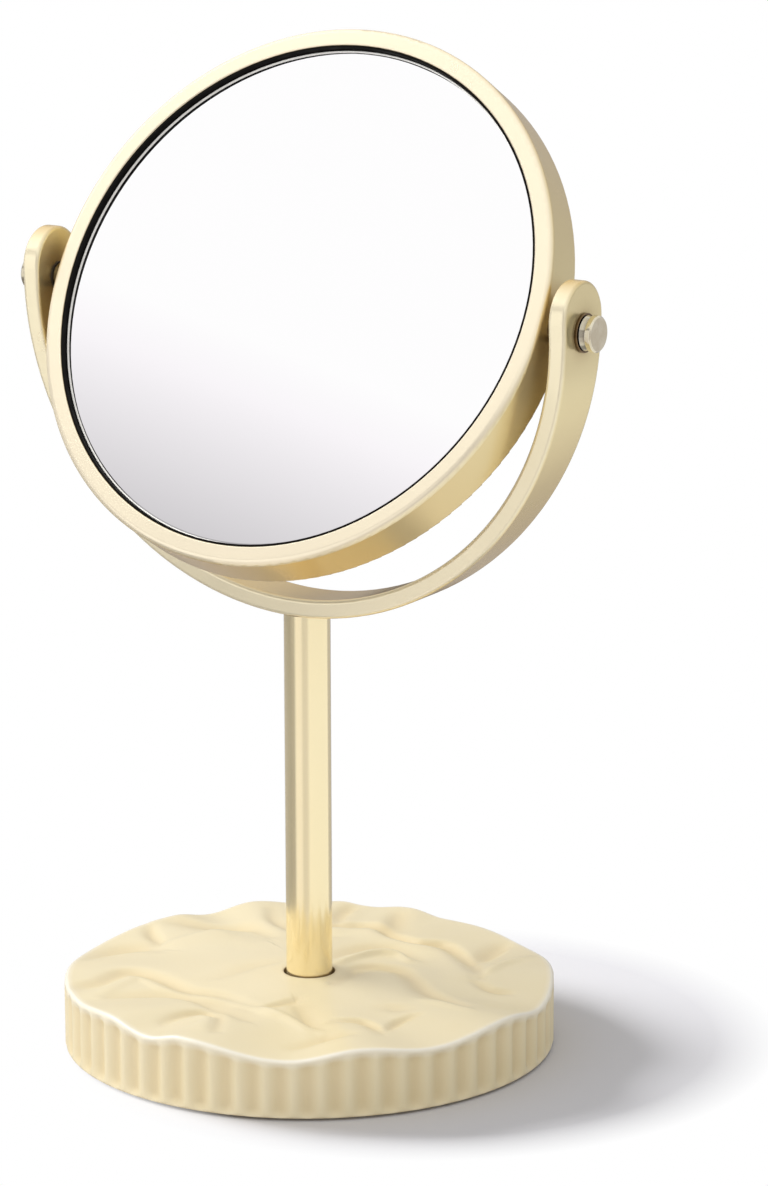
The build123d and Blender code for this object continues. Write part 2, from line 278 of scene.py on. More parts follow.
# the post's lacquer: polished, and painted lighter than the ring's as a painted sheen
postLook = {
    "Colour": (1.0, 0.87, 0.56), "Drift Colour": (0.98, 0.84, 0.52), "Drift": 0.4, "Drift Scale": 14.0,
    "Roughness": 0.14, "Smudge": 0.05, "Smudge Scale": 45.0, "Grain Scale": 1600.0,
    "bumpStrength": 0.06, "bumpDistance": 0.00008,
    "edgeWidth": 0.0005, "wear": 0.4, "wornColour": (0.97, 0.91, 0.74),
    "shader": {"Metallic": 0.85},
}
resinLook = {
    "Colour": (0.90, 0.785, 0.52), "Drift Colour": (0.87, 0.745, 0.46), "Drift": 0.5, "Drift Scale": 22.0,
    "Roughness": 0.38, "Smudge": 0.08, "Smudge Scale": 70.0, "Grain Scale": 900.0,
    "bumpStrength": 0.15, "bumpDistance": 0.0002,
    # painted shade in the flutes and valleys, a painted highlight along the rim, painted shadow in the gap round
    # the post
    "paintedLightTints": [("hollow", (0.72, 0.53, 0.24), 0.8), ("rim", (0.99, 0.96, 0.88), 0.7),
                     ("gapShadow", (0.03, 0.02, 0.01), 1.0)],
    "edgeWidth": 0.0010, "wear": 0.3, "wornColour": (0.99, 0.95, 0.85),
    "creviceShade": (0.003, 0.5), "creviceShadeColour": (0.42, 0.29, 0.13),
    "shader": {"Coat Weight": 0.2, "Coat Roughness": 0.2},
}
platingLook = {
    "Colour": (0.76, 0.70, 0.54), "Drift Colour": (0.60, 0.52, 0.36), "Drift": 0.6, "Drift Scale": 220.0,
    "Roughness": 0.08, "Smudge": 0.10, "Smudge Scale": 400.0, "Grain Scale": 4000.0,
    "bumpStrength": 0.1, "bumpDistance": 0.00004,
    "edgeWidth": 0.0003, "wear": 0.7, "wornColour": (0.99, 0.96, 0.86),
    "creviceShade": (0.005, 1.0), "creviceShadeColour": (0.05, 0.03, 0.015),
    "shader": {"Metallic": 1.0},
}
# near white lip: a painted highlight line at the glass's edge
lipHighlightLook = {
    "Colour": (1.0, 0.985, 0.93), "Drift Colour": (0.97, 0.94, 0.86), "Drift": 0.5, "Drift Scale": 60.0,
    "Roughness": 0.3, "Smudge": 0.1, "Smudge Scale": 90.0, "Grain Scale": 2500.0,
    "bumpStrength": 0.1, "bumpDistance": 0.00004,
    "edgeWidth": 0.0001, "wear": 0.3, "wornColour": (1.0, 1.0, 0.98),
    "shader": {"Metallic": 0.2},
}
# the plating painted dark brown on the outer washers: painted shade and dark reflection round the knobs
washerLook = {
    "Colour": (0.20, 0.13, 0.065), "Drift Colour": (0.12, 0.075, 0.035), "Drift": 0.6, "Drift Scale": 220.0,
    "Roughness": 0.16, "Smudge": 0.10, "Smudge Scale": 400.0, "Grain Scale": 4000.0,
    "bumpStrength": 0.1, "bumpDistance": 0.00004,
    "edgeWidth": 0.0002, "wear": 0.5, "wornColour": (0.90, 0.84, 0.70),
    "creviceShade": (0.0022, 1.0), "creviceShadeColour": (0.04, 0.025, 0.012),
    "shader": {"Metallic": 1.0},
}
glassLook = {
    "Colour": (0.99, 0.985, 0.99), "Drift Colour": (0.98, 0.975, 0.98), "Drift": 0.3, "Drift Scale": 10.0,
    "Roughness": 0.005, "Smudge": 0.01, "Smudge Scale": 30.0, "Grain Scale": 300.0,
    "bumpStrength": 0.0, "bumpDistance": 0.00001,
    "edgeWidth": 0.0003, "wear": 0.2, "wornColour": (0.99, 0.99, 0.99),
    "shader": {"Metallic": 1.0},
}
rubberLook = {
    "Colour": (0.003, 0.0025, 0.002), "Drift Colour": (0.006, 0.005, 0.004),
    "Drift": 0.4, "Drift Scale": 90.0,
    "Roughness": 0.6, "Smudge": 0.2, "Smudge Scale": 150.0, "Grain Scale": 3000.0,
    "bumpStrength": 0.25, "bumpDistance": 0.00006,
    "edgeWidth": 0.0002, "wear": 0.1, "wornColour": (0.05, 0.045, 0.04),
    "shader": {"Specular IOR Level": 0.1},
}
nylonLook = {
    "Colour": (0.045, 0.034, 0.024), "Drift Colour": (0.07, 0.055, 0.04),
    "Drift": 0.4, "Drift Scale": 200.0,
    "Roughness": 0.4, "Smudge": 0.1, "Smudge Scale": 300.0, "Grain Scale": 3000.0,
    "bumpStrength": 0.2, "bumpDistance": 0.00005,
    "edgeWidth": 0.0002, "wear": 0.3, "wornColour": (0.20, 0.16, 0.12),
}
steelLook = {
    "Colour": (0.56, 0.56, 0.57), "Drift Colour": (0.48, 0.47, 0.45), "Drift": 0.6, "Drift Scale": 120.0,
    "Roughness": 0.3, "Smudge": 0.15, "Smudge Scale": 300.0, "Grain Scale": 3000.0,
    "bumpStrength": 0.2, "bumpDistance": 0.00005,
    "edgeWidth": 0.0003, "wear": 0.5, "wornColour": (0.80, 0.79, 0.76),
    "shader": {"Metallic": 1.0},
}
castIronLook = {
    "Colour": (0.11, 0.11, 0.11), "Drift Colour": (0.20, 0.13, 0.08), "Drift": 0.6, "Drift Scale": 60.0,
    "Roughness": 0.6, "Smudge": 0.15, "Smudge Scale": 120.0, "Grain Scale": 900.0,
    "bumpStrength": 0.5, "bumpDistance": 0.0003,
    "edgeWidth": 0.0008, "wear": 0.6, "wornColour": (0.35, 0.34, 0.33),
    "shader": {"Metallic": 0.8},
}
coverLook = {
    "Colour": (0.76, 0.68, 0.50), "Drift Colour": (0.70, 0.62, 0.44), "Drift": 0.4, "Drift Scale": 40.0,
    "Roughness": 0.5, "Smudge": 0.12, "Smudge Scale": 90.0, "Grain Scale": 1800.0,
    "bumpStrength": 0.35, "bumpDistance": 0.0001,
    "edgeWidth": 0.0006, "wear": 0.4, "wornColour": (0.88, 0.82, 0.68),
}
foamLook = {
    "Colour": (0.03, 0.03, 0.032), "Drift Colour": (0.06, 0.057, 0.05), "Drift": 0.6, "Drift Scale": 60.0,
    "Roughness": 0.85, "Smudge": 0.1, "Smudge Scale": 150.0, "Grain Scale": 1400.0,
    "bumpStrength": 0.6, "bumpDistance": 0.0003,
    "edgeWidth": 0.0006, "wear": 0.4, "wornColour": (0.12, 0.115, 0.105),
}

# the same lacquer, painted paler on the faces that look along each piece's own axis, as a painted highlight
ringLook = dict(lacquerLook, faceAxis=mirrorAxis, faceHighlightColour=(0.99, 0.88, 0.66))
yokeLook = dict(lacquerLook, faceAxis=(0, 1, 0), faceHighlightColour=(0.96, 0.86, 0.61))

ringLacquer = finishMaterial("ringLacquer", ringLook)
yokeLacquer = finishMaterial("yokeLacquer", yokeLook)
postLacquer = finishMaterial("polishedLitLacquer", postLook)
resin = finishMaterial("creamResin", resinLook)
plating = finishMaterial("champagnePlating", platingLook)
paleLipHighlight = finishMaterial("paleLipHighlight", lipHighlightLook)
darkShadedWasher = finishMaterial("darkShadedWasher", washerLook)
mirrorGlass = finishMaterial("silveredGlass", glassLook)
rubber = finishMaterial("blackLining", rubberLook)
nylon = finishMaterial("bushNylon", nylonLook)
steel = finishMaterial("zincSteel", steelLook)
castIron = finishMaterial("castWeight", castIronLook)
coverPlastic = finishMaterial("coverPlastic", coverLook)
foam = finishMaterial("padFoam", foamLook)

slotMaterials = {
    "lacquer": ringLacquer, "base_resin": resin, "pivot_metal": plating, "looking_glass": mirrorGlass,
    "black_rubber": rubber, "nylon": nylon, "steel": steel, "weight_iron": castIron,
    "cover_plastic": coverPlastic, "pad_foam": foam,
}


def dress(part, material):
    part.data.materials.clear()
    part.data.materials.append(material)


for entry in frame["record"]["subparts"]:
    dress(frame["nodes"][entry["node"]], slotMaterials[entry["material_slot"]])
dress(frame["nodes"]["post_tube"], postLacquer)    # polished, and painted brighter than the ring and yoke as a painted sheen
dress(frame["nodes"]["yoke"], yokeLacquer)
# the outer washers' plating painted dark: painted shade and reflection
for side in ("left", "right"):
    dress(frame["nodes"]["outer_washer_" + side], darkShadedWasher)
print("materials on the CAD nodes")


shellLow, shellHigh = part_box("base_shell")
tubeLow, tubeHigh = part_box("post_tube")

base = {
    "radius": (shellHigh.x - shellLow.x) / 2,
    "foot": shellLow.z,
    "height": 22.0 * mm,            # mean height of the top
    "crown": 1.6 * mm,              # the top swells towards the post
    "crownReach": 0.6,              # share of the radius
    "flutes": 57,
    "crestAt": -55.1,               # degrees from +X
    "fluteDepth": 1.7 * mm,
    "fluteRoundness": 0.8,          # a power; under 1 the valleys are wider than the crests
    "fluteStart": 2.2 * mm,         # height over which the flutes grow from the foot
    "fluteEnd": 3.2 * mm,           # and over which they fade below the rim
    "fluteHeadroom": 0.4,           # share of rimRound that stays free of flutes
    "segmentsPerFlute": 8,
    "wallRows": 10,
    "rimRound": 1.5 * mm,
    "rimRows": 6,
    "footRound": 0.8 * mm,
    "footSteps": [(1.0, 0.0), (0.6, 0.05), (0.3, 0.2), (0.1, 0.55)],    # in and up, shares of footRound
    "topRows": 84,
    "topSpacing": 0.9,              # a power; under 1 the rows are closer together near the hole
    "holeRadius": (tubeHigh.x - tubeLow.x) / 2 + 0.75 * mm,     # the tube and the room around it
    "holeRound": 0.5 * mm,
    "holeRows": 3,
    "ceiling": 16.0 * mm,
    "cavityRadius": 76.2 * mm,      # of the hollow underneath, which reaches up to the ceiling
    "waveReach": 0.35,              # share of the radius where the rim's waves die out
    "foldGain": 1.75,               # on the heights of the folds
    "foldSharpness": 0.88,          # on their widths
    "foldEnds": 0.12,               # share of a half wave that is cut off at both ends of a fold
    "foldBluntness": 0.8,           # a power on that wave; under 1 the ends are blunter
    "holeCalm": 6.0 * mm,           # the folds die out over this distance from the hole
    "rimCalm": 9.0 * mm,            # and grow weaker over this one, up to pastRim beyond the rim
    "pastRim": 1.0 * mm,
    "rimFolds": 0.25,               # share of them that is left there
    "hollowShade": 0.45,             # depth of painted shade in the flutes and valleys
    "fullValley": 1.6 * mm,         # valley with all of that painted shade
    "rimHighlightIn": 0.7 * mm,          # the rim's painted highlight line: from the wall to its middle
    "rimHighlightWidth": 0.8 * mm,
    "rimHighlightDrop": 1.6 * mm,
    "gapShadowWidth": 0.15 * mm,          # the hole's painted shadow: past its edge
    "gapShadowDrop": 0.2 * mm,            # and below the top
    "smoothUnder": 50,              # degrees between faces
}

# rise of the rim (mm) at its crests and dips, by direction in degrees from +X
rimWaves = [
    (-176, -1.1), (-150, 0.6), (-129, 0.8), (-111, 2.6), (-98, 0.0), (-89, 2.2),
    (-63, -2.3), (-46, 0.9), (-28, -1.6), (-6, 1.1), (12, -2.4), (34, 0.8), (60, -1.9),
    (76, -1.4), (87, -1.7), (97, 0.3), (106, -0.9), (114, 0.5), (124, -0.4), (136, 1.1),
    (148, -1.6), (158, 0.3),
]

# folds of the top: points (mm), height (mm, below zero for a valley), soft width on the left
# and on the right of its run (mm)
folds = [
    ([(-73, -22), (-71, -11), (-66, -4), (-58, -2)], -0.9, 6.0, 4.0),
    ([(-75, 18), (-69, 11), (-61, 4)], -0.8, 2.2, 3.0),
    ([(-70, 26), (-57, 27), (-45, 32), (-34, 27)], -0.9, 4.5, 5.5),
    ([(-60, 0), (-54, 14), (-50, 24), (-43, 29), (-32, 23)], 0.6, 3.0, 9.0),
    ([(-60, -54), (-54, -43), (-53, -29), (-42, -28), (-26, -34), (-13, -34), (3, -38)], -1.0, 3.5, 5.5),
    ([(-45, -56), (-46, -41), (-44, -33), (-32, -37), (-22, -38), (-6, -37), (12, -41)], 0.6, 5.0, 2.6),
    ([(-42, -54), (-34, -47), (-25, -42), (-12, -43), (7, -50)], -0.7, 5.0, 3.0),
    ([(-13, -66), (-12, -56), (-8, -50), (0, -54), (7, -66)], -0.8, 2.2, 3.4),
    ([(-10, -66), (-7, -56), (-2, -56), (3, -66)], 0.5, 4.0, 4.0),
    ([(-22, -18), (-19, -6), (-14, 4)], -0.35, 5.0, 3.0),
    ([(6, -36), (11, -24)], -0.6, 1.6, 3.0),
    ([(12, -27), (22, -37), (34, -48)], -0.7, 6.0, 3.0),
    ([(6, -38), (19, -41), (33, -46)], 0.6, 2.0, 3.0),
    ([(-22, 51), (-26, 62), (-27, 73)], -1.0, 4.0, 3.0),
    ([(-24, 47), (-15, 55), (-7, 56), (1, 52), (11, 50), (19, 53), (27, 49), (37, 40), (49, 28)],
     -1.1, 2.2, 4.5),
    ([(-22, 44), (-8, 49), (2, 46), (12, 44), (24, 43), (34, 35), (44, 26)], 0.6, 3.0, 6.0),
    ([(49, 29), (50, 40), (53, 52)], 0.7, 3.5, 2.2),
    ([(40, 42), (37, 54), (36, 66)], -1.1, 5.0, 4.0),
    ([(-10, 74), (-6, 64), (-1, 54)], -0.9, 5.0, 4.0),
    ([(-2, 14), (-1, 26), (3, 34), (10, 38), (20, 32)], -0.9, 5.0, 3.0),
    ([(4, 9), (6, 20), (9, 28), (15, 31), (21, 28)], 1.1, 2.6, 2.2),
    ([(12, -5), (11, 8), (13, 15), (18, 18), (25, 18), (32, 13), (41, 6), (50, 2), (60, -2)],
     -0.9, 2.6, 4.6),
    ([(46, -4), (54, -5), (64, -6)], 0.6, 1.8, 3.0),
    ([(50, 22), (57, 20), (63, 21)], -0.7, 1.5, 2.4),
    ([(32, -35), (38, -31), (44, -32), (50, -36)], -0.8, 1.6, 3.4),
    ([(49, -32), (48, -24), (50, -17)], -0.8, 1.6, 2.6),
    ([(38, -16), (46, -13)], -0.4, 3.5, 3.5),
    ([(32, -59), (37, -51), (43, -45)], -0.7, 3.4, 3.0),
    # a guess, partly behind the post
    ([(-48, 52), (-40, 42), (-28, 38), (-16, 38)], -0.7, 4.0, 3.0),
]


def eased(share):
    return share * share * (3 - 2 * share)


def rimRise(angles):
    # smooth from each crest to the next dip
    stops = rimWaves + [(rimWaves[0][0] + 360, rimWaves[0][1])]
    angles = np.where(angles < stops[0][0], angles + 360, angles)
    rise = np.zeros_like(angles)
    for (start, low), (end, high) in zip(stops, stops[1:]):
        inside = (angles >= start) & (angles <= end)
        share = (angles[inside] - start) / (end - start)
        rise[inside] = low + (high - low) * (1 - np.cos(math.pi * share)) / 2
    return rise * mm


def smoothRun(points, steps=8):
    # Catmull-Rom line through the fold's points
    ends = [2 * np.array(points[0]) - np.array(points[1])]
    ends += [np.array(p, float) for p in points]
    ends += [2 * np.array(points[-1]) - np.array(points[-2])]
    run = []
    for a, b, c, d in zip(ends, ends[1:], ends[2:], ends[3:]):
        for i in range(steps):
            t = i / steps
            run.append(0.5 * (2 * b + (c - a) * t + (2 * a - 5 * b + 4 * c - d) * t ** 2
                              + (3 * b - a - 3 * c + d) * t ** 3))
    run.append(ends[-2])
    return np.array(run) * mm


def foldRise(xy, points, height, leftWidth, rightWidth):
    run = smoothRun(points)
    best = np.full(len(xy), np.inf)
    side = np.zeros(len(xy))
    along = np.zeros(len(xy))
    count = len(run) - 1
    for i in range(count):
        step = run[i + 1] - run[i]
        offset = xy - run[i]
        t = np.clip(offset @ step / (step @ step), 0, 1)
        away = offset - t[:, None] * step
        distance = np.hypot(away[:, 0], away[:, 1])
        nearer = distance < best
        best = np.where(nearer, distance, best)
        side = np.where(nearer, step[0] * offset[:, 1] - step[1] * offset[:, 0], side)
        along = np.where(nearer, (i + t) / count, along)
    width = np.where(side > 0, leftWidth, rightWidth) * base["foldSharpness"] * mm
    along = base["foldEnds"] + (1 - 2 * base["foldEnds"]) * along
    taper = np.sin(math.pi * along) ** base["foldBluntness"]
    return height * base["foldGain"] * mm * taper * np.exp(-(best / width) ** 2)


def newRing(step, scale):
    # carries the open edge loop up or down and in or out
    bpy.ops.mesh.extrude_region_move(TRANSFORM_OT_translate={"value": (0, 0, step)})
    if scale != 1:
        bpy.ops.transform.resize(value=(scale, scale, 1), center_override=(0, 0, 0))


def ringPath(settings):
    # (radius, height) of each edge loop: foot, wall, rim, top, hole, and back around the cavity
    foot, height, radius = settings["foot"], settings["height"], settings["radius"]
    footRound, rimRound, holeRound = settings["footRound"], settings["rimRound"], settings["holeRound"]
    path = [(radius - footRound * inward, foot + footRound * up) for inward, up in settings["footSteps"]]
    wallStart = foot + footRound
    wallTop = height - rimRound
    for i in range(settings["wallRows"] + 1):
        path.append((radius, wallStart + (wallTop - wallStart) * i / settings["wallRows"]))
    rim = radius - rimRound
    for i in range(1, settings["rimRows"] + 1):
        turn = math.pi / 2 * i / settings["rimRows"]
        path.append((rim + rimRound * math.cos(turn), wallTop + rimRound * math.sin(turn)))
    lip = settings["holeRadius"] + holeRound
    for i in range(1, settings["topRows"] + 1):
        share = i / settings["topRows"]
        path.append((rim + (lip - rim) * share ** settings["topSpacing"], height))
    for i in range(1, settings["holeRows"] + 1):
        turn = math.pi / 2 * i / settings["holeRows"]
        path.append((lip - holeRound * math.sin(turn), height - holeRound * (1 - math.cos(turn))))
    path.append((settings["holeRadius"], settings["ceiling"]))
    path.append((settings["cavityRadius"], settings["ceiling"]))
    path.append((settings["cavityRadius"], foot))
    return path


def turnPiece(name, path, count, closing):
    # a round piece from its (radius, height) path, with its two open ends joined or each drawn to a point
    radius, height = path[0]
    bpy.ops.mesh.primitive_circle_add(vertices=count, radius=radius, fill_type="NOTHING",
                                      location=(0, 0, height))
    piece = bpy.context.object
    piece.name = name
    bpy.ops.object.transform_apply(location=True, rotation=True, scale=True)
    bpy.ops.object.mode_set(mode="EDIT")
    bpy.ops.mesh.select_all(action="SELECT")
    for nextRadius, nextHeight in path[1:]:
        newRing(nextHeight - height, nextRadius / radius)
        radius, height = nextRadius, nextHeight
    bpy.ops.mesh.select_all(action="DESELECT")
    bpy.ops.mesh.select_non_manifold()
    if closing == "joined":
        bpy.ops.mesh.bridge_edge_loops()
    else:
        bpy.ops.mesh.merge(type="COLLAPSE")
    bpy.ops.mesh.select_all(action="SELECT")
    bpy.ops.mesh.normals_make_consistent(inside=False)
    bpy.ops.object.mode_set(mode="OBJECT")
    return piece


def shapeBase(shell):
    mesh = shell.data
    places = np.zeros(len(mesh.vertices) * 3)
    mesh.vertices.foreach_get("co", places)
    places = places.reshape(-1, 3)
    x, y, z = places.T.copy()
    reach = np.hypot(x, y)
    turn = np.degrees(np.arctan2(y, x))
    hair = 0.1 * mm                 # tells the outer rings from those of the cavity
    outside = reach > base["cavityRadius"] + hair
    top = (z > base["ceiling"] + hair) | outside

    # flutes, fading out at the foot and over the rim
    swing = 0.5 - 0.5 * np.cos(np.radians(turn - base["crestAt"]) * base["flutes"])
    fluteTop = base["height"] - base["rimRound"] * base["fluteHeadroom"]
    fadeFoot = eased(np.clip((z - base["foot"]) / base["fluteStart"], 0, 1))
    fadeRim = eased(np.clip((fluteTop - z) / base["fluteEnd"], 0, 1))
    carved = base["fluteDepth"] * swing ** base["fluteRoundness"] * fadeFoot * fadeRim
    inward = np.where(outside, carved, 0)
    places[:, 0] -= x / reach * inward
    places[:, 1] -= y / reach * inward

    # waves of the rim and folds of the top; the wall stretches with them
    share = np.clip((reach / base["radius"] - base["waveReach"]) / (1 - base["waveReach"]), 0, 1)
    rise = rimRise(turn) * eased(share)
    rise += base["crown"] * eased(np.clip(1 - reach / (base["crownReach"] * base["radius"]), 0, 1))
    xy = np.stack([x, y], axis=1)
    folded = np.zeros(len(xy))
    quiet = eased(np.clip((reach - base["holeRadius"]) / base["holeCalm"], 0, 1))
    fromRim = eased(np.clip((base["radius"] + base["pastRim"] - reach) / base["rimCalm"], 0, 1))
    quiet *= fromRim * (1 - base["rimFolds"]) + base["rimFolds"]
    for points, height, leftWidth, rightWidth in folds:
        folded += foldRise(xy, points, height, leftWidth, rightWidth) * quiet
    rise += folded
    grip = np.clip((z - base["foot"]) / (base["height"] - base["foot"]), 0, 1)
    places[:, 2] += np.where(top, rise * grip, 0)
    mesh.vertices.foreach_set("co", places.ravel())
    mesh.update()

    # painted light and shade that the resin's colour follows: shade in the flutes and valleys, a highlight line
    # along the rim, shadow in the hole
    # painted shade in the flutes and in the valleys of the folds
    hollow = swing * fadeFoot * fadeRim * outside * base["hollowShade"]
    hollow += np.clip(-folded / base["fullValley"], 0, 1) * top * base["hollowShade"]
    # painted highlight along the rim
    fromHighlight = (reach - base["radius"] + base["rimHighlightIn"]) / base["rimHighlightWidth"]
    rim = np.exp(-fromHighlight ** 2) * (z > base["height"] - base["rimHighlightDrop"])
    # painted shadow inside the hole round the post
    gapShadow = (reach < base["holeRadius"] + base["gapShadowWidth"]) & (z < base["height"] - base["gapShadowDrop"])
    for label, share in (("hollow", hollow), ("rim", rim), ("gapShadow", gapShadow)):
        layer = mesh.attributes.new(label, "FLOAT", "POINT")
        layer.data.foreach_set("value", np.clip(share, 0, 1).astype(np.float32))


foldedBase = turnPiece("foldedBase", ringPath(base), base["flutes"] * base["segmentsPerFlute"], "joined")
shapeBase(foldedBase)
bpy.ops.object.shade_smooth_by_angle(angle=math.radians(base["smoothUnder"]))
dress(foldedBase, resin)
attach(foldedBase, "root")
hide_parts("base_shell")
print("base modelled")


pivots = Vector(next(j["pos_m"] for j in frame["joints"] if j["name"] == "mirror_tilt"))

# a pale lip between the lining and the glass, near white as a painted highlight line at the glass's edge
glassLip = {
    "hiddenGlass": 2.8 * mm,        # how far the glass runs on behind the ring's lip
    "setIn": 1.10 * mm,             # from the opening's edge to the middle of the lip
    "faceHeight": 5.95 * mm,        # along the mirror's axis from the pivots
    "beadRadius": 0.26 * mm,
    "segments": 192,
    "sides": 12,
}


def modelGlassLip():
    low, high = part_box("front_glass")
    radius = (high.x - low.x) / 2 - glassLip["hiddenGlass"] - glassLip["setIn"]
    bpy.ops.mesh.primitive_torus_add(
        major_radius=radius, minor_radius=glassLip["beadRadius"],
        major_segments=glassLip["segments"], minor_segments=glassLip["sides"],
        location=pivots + mirrorAxis * glassLip["faceHeight"],
        rotation=mirrorAxis.to_track_quat("Z", "Y").to_euler())
    lip = bpy.context.object
    lip.name = "glassLip"
    bpy.ops.object.transform_apply(location=True, rotation=True, scale=True)
    bpy.ops.object.shade_smooth()
    dress(lip, paleLipHighlight)
    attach(lip, "mirror_head")
    return lip


glassLipBead = modelGlassLip()
print("glass lip modelled")


# the hollow glass behind, with an even polish right to its middle
hollowGlass = {
    "hollow": 3.2 * mm,             # depth at the middle
    "rearRim": -5.85 * mm,          # along the mirror's axis from the pivots
    "frontRim": -3.65 * mm,
    "rings": 22,
    "firstRing": 0.5 * mm,          # radius of the ring that is drawn together to the middle point
    "segments": 128,
    "smoothUnder": 30,              # degrees between faces
}


def hollowPath(radius, settings):
    # out over the rear face and back in over the front one
    sphere = (radius ** 2 + settings["hollow"] ** 2) / (2 * settings["hollow"])
    reaches = [radius * i / settings["rings"] for i in range(settings["rings"] + 1)]
    reaches[0] = settings["firstRing"]
    rise = [settings["hollow"] - sphere + math.sqrt(sphere ** 2 - r ** 2) for r in reaches]
    path = [(r, settings["rearRim"] + h) for r, h in zip(reaches, rise)]
    path += [(r, settings["frontRim"] + h) for r, h in zip(reversed(reaches), reversed(rise))]
    return path


def modelRearGlass():
    low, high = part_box("rear_glass")
    path = hollowPath((high.x - low.x) / 2, hollowGlass)
    glass = turnPiece("hollowGlass", path, hollowGlass["segments"], "pointed")
    glass.location = pivots
    glass.rotation_euler = mirrorAxis.to_track_quat("Z", "Y").to_euler()
    bpy.ops.object.transform_apply(location=True, rotation=True, scale=True)
    bpy.ops.object.shade_smooth_by_angle(angle=math.radians(hollowGlass["smoothUnder"]))
    dress(glass, mirrorGlass)
    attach(glass, "mirror_head")
    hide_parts("rear_glass")
    return glass


rearGlass = modelRearGlass()
print("rear glass modelled")


stage = {
    "floorSize": 6.0,
    "whiteAround": (-0.0287, -0.0211, 0.0),     # minus the middle of the shadow
    "whiteStarts": 0.097,           # the floor turns into the white backdrop between these distances
    "whiteEnds": 0.118,             # from that middle
    "floorColour": (0.714, 0.709, 0.735),
}

studio = {
    # light of the dome on matt surfaces, from behind to the front
    "domeWay": (-0.15, -0.98, 0.1),
    "domeBack": 0.42,
    "domeFront": 0.84,
    # what shiny surfaces see low down: tone by direction, in degrees from the front towards the right,
    # on the floor close by and further off; the dark one right behind draws the outlines
    "nearCards": [(-180, 0.52), (-163, 0.52), (-159, 0.08), (-139, 0.08), (-135, 0.50), (-125, 0.55),
                  (-112, 0.40), (-60, 0.32), (-36, 0.40), (-27, 0.95), (2, 0.95), (9, 0.72), (30, 0.76),
                  (40, 1.0), (150, 1.0), (157, 0.52), (180, 0.52)],
    "farCards": [(-180, 0.68), (-163, 0.68), (-159, 0.08), (-139, 0.08), (-135, 0.50), (-112, 0.30),
                 (-62, 0.30), (-48, 1.0), (-20, 1.0), (2, 0.90), (9, 0.55), (30, 0.55), (40, 0.75),
                 (100, 0.72), (120, 0.68), (180, 0.68)],
    "wallCards": [(-180, 0.55), (-112, 0.45), (-62, 0.30), (-48, 0.95), (-20, 1.0), (2, 0.90), (9, 0.55),
                  (30, 0.55), (40, 0.75), (100, 0.70), (120, 0.55), (180, 0.55)],
    "underShadeTone": 0.42,              # painted shadow right under the object, as reflections see the floor
    "underEnds": 0.11,
    "nearStarts": 0.14,
    "nearEnds": 0.60,
    "farStarts": 0.80,
    "cardsEnd": 0.24,               # the cards' top, as the sine of the height above the horizon
    "skyStarts": 0.44,
    # higher up: tone along skyWay, white except low down at the front left
    "skyWay": (0.346, 0.742, 0.574),
    "skyLow": -0.60,
    "skyHigh": -0.20,
    "sky": [(0.0, 1.0), (0.20, 1.0), (0.33, 0.42), (0.675, 0.46), (0.75, 0.60), (0.7975, 0.81),
            (0.83, 0.955), (0.856, 1.0), (1.0, 1.0)],
    "tint": (1.0, 0.976, 1.0),      # of all tones below full white
    "lampAim": (0, 0, 0.1),
}


def fillRamp(ramp, stops, tint):
    elements = ramp.color_ramp.elements
    for _ in stops[2:]:
        elements.new(0.5)
    for element, (place, tone) in zip(elements, stops):
        element.position = place
        element.color = (*[tone * t if tone < 1 else 1.0 for t in tint], 1)


def buildCardGroup(name, cards):
    # tones of the cards around the object, by the direction that a reflection looks in
    group, start, end = addGroup(
        name,
        [("Way", "NodeSocketVector", (0, 0, 0))],
        [("Colour", "NodeSocketColor")])
    parts = node(group, "ShaderNodeSeparateXYZ")
    group.links.new(start.outputs["Way"], parts.inputs[0])
    front = mathNode(group, "MULTIPLY", parts.outputs["Y"], -1.0)
    turn = mathNode(group, "ARCTAN2", parts.outputs["X"], front)
    share = remap(group, turn, -math.pi, math.pi, 0.0, 1.0)
    ramp = node(group, "ShaderNodeValToRGB")
    fillRamp(ramp, [((a + 180) / 360, tone) for a, tone in cards], studio["tint"])
    group.links.new(share, ramp.inputs[0])
    group.links.new(ramp.outputs[0], end.inputs["Colour"])
    return group


nearCards = buildCardGroup("nearCards", studio["nearCards"])
farCards = buildCardGroup("farCards", studio["farCards"])
wallCards = buildCardGroup("wallCards", studio["wallCards"])


def cardTone(tree, cardGroup, way):
    cards = node(tree, "ShaderNodeGroup", node_tree=cardGroup)
    tree.links.new(way, cards.inputs["Way"])
    return cards.outputs["Colour"]


def seenDirectly(tree, lightPath):
    return mathNode(tree, "MAXIMUM", lightPath.outputs["Is Camera Ray"],
                    lightPath.outputs["Is Transmission Ray"])


